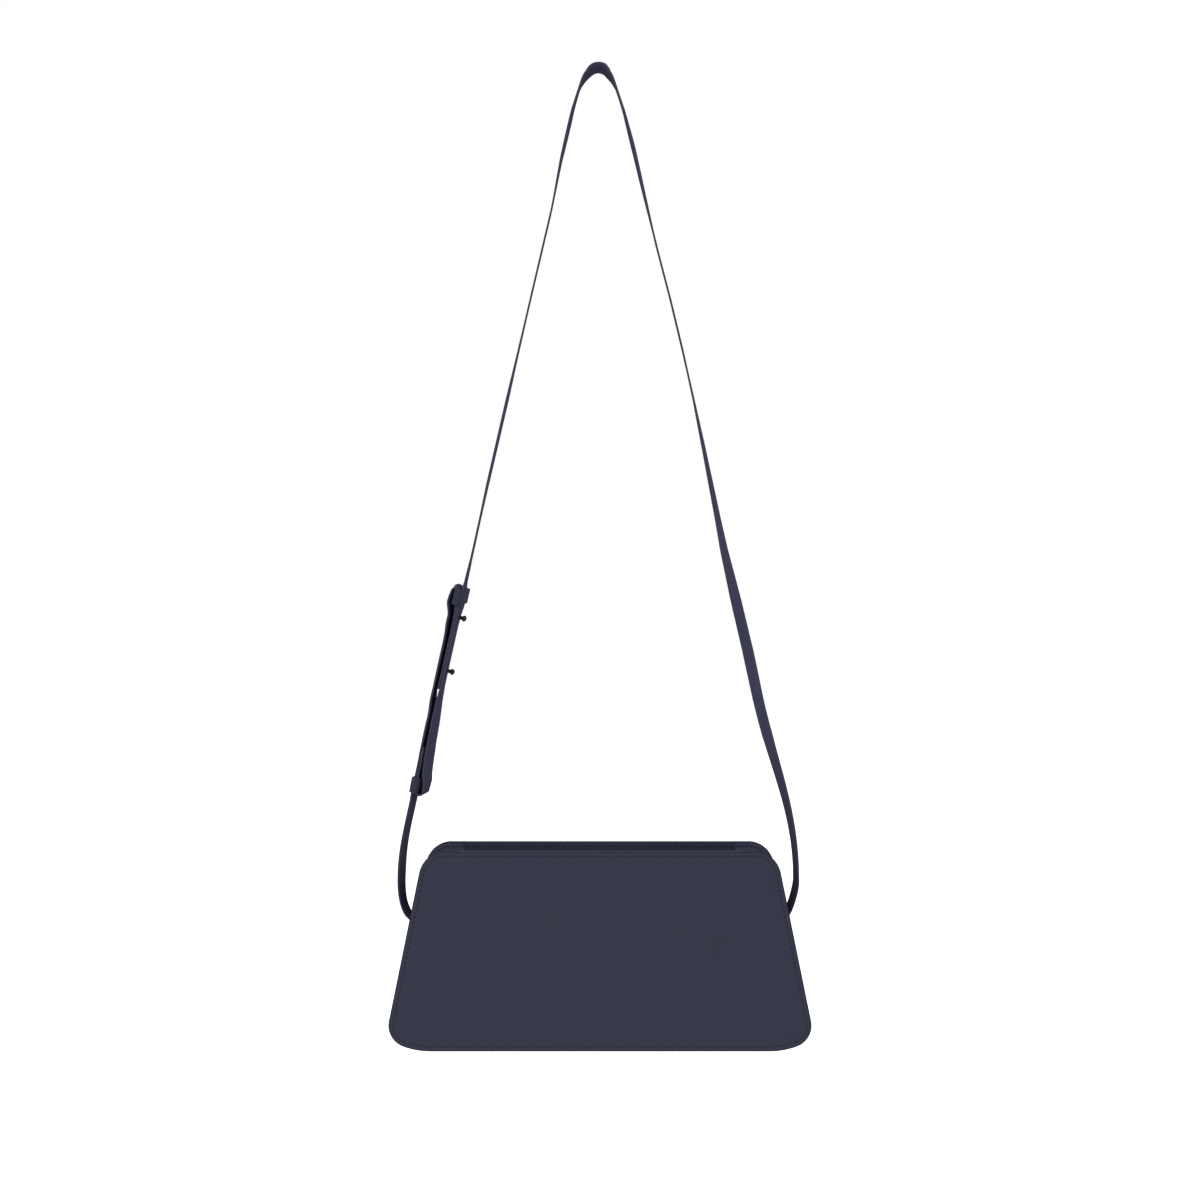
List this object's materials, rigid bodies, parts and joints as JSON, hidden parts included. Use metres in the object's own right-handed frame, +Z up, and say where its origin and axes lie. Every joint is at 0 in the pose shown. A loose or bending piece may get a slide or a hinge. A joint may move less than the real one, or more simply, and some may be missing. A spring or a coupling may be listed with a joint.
{
  "type": "shoulder bag",
  "caption": "Stiff trapeze-shaped shoulder bag of flat leather panels on a recessed gusset, with a zip top and a long flat strap that a double-keeper stud adjuster shortens.",
  "frame": {"origin": "underside of the strap at the middle of its top bend, where a peg, hook or shoulder carries it", "axes": "+Z up; +X to the right of someone who looks at the front; +Y from the front to the back of the bag"},
  "size_m": [0.2538, 0.055, 0.5972],
  "materials": {
    "panel_leather": "smooth calf leather, satin, dyed through, dark blue-grey",
    "gusset_leather": "smooth calf leather, satin, dark blue-grey",
    "strap_leather": "smooth bridle leather, satin, with painted edges",
    "facing_leather": "thin dark leather, matt",
    "stiffener_board": "pressed fibre board, raw",
    "lining_cloth": "fine cotton twill, dark",
    "zip_tape": "woven polyester tape",
    "dark_metal": "dark gunmetal plating, satin"
  },
  "bodies": {
    "strap": {"strap_long": "strap_leather", "strap_short": "strap_leather", "keeper_upper": "facing_leather", "keeper_lower": "facing_leather", "stud_upper": "dark_metal", "stud_lower": "dark_metal", "stud_screws": "dark_metal"},
    "bag": {"front_panel": "panel_leather", "back_panel": "panel_leather", "gusset": "gusset_leather", "front_stiffener": "stiffener_board", "back_stiffener": "stiffener_board", "base_board": "lining_cloth", "front_lining": "lining_cloth", "back_lining": "lining_cloth", "gusset_lining": "lining_cloth", "inner_pocket": "lining_cloth", "zip_facing_front": "facing_leather", "zip_facing_back": "facing_leather", "zip_end_tab_left": "gusset_leather", "zip_end_tab_right": "gusset_leather", "zip_tape_front": "zip_tape", "zip_tape_back": "zip_tape", "zip_teeth_front": "dark_metal", "zip_teeth_back": "dark_metal", "zip_top_stops": "dark_metal", "zip_bottom_stop": "dark_metal", "strap_end_left": "strap_leather", "strap_end_right": "strap_leather", "anchor_patch_left": "gusset_leather", "anchor_patch_right": "gusset_leather", "anchor_rivets_left": "dark_metal", "anchor_rivets_right": "dark_metal"},
    "slider": {"zip_slider": "dark_metal"},
    "pull": {"zip_pull": "dark_metal"}
  },
  "joints": [
    {"name": "strap_swing", "type": "hinge", "parent": "strap", "child": "bag", "pos_m": [0, 0, -0.521], "axis": [1, 0, 0], "range_deg": [-45, 45]},
    {"name": "zip_slide", "type": "slide", "parent": "bag", "child": "slider", "axis": [-1, 0, 0], "range_m": [0, 0.1293], "deforming": ["zip_tape_front", "zip_tape_back", "zip_teeth_front", "zip_teeth_back"]},
    {"name": "pull_swing", "type": "hinge", "parent": "slider", "child": "pull", "pos_m": [0.06934, 0, -0.48215], "axis": [0, 1, 0], "range_deg": [0, 165]}
  ]
}
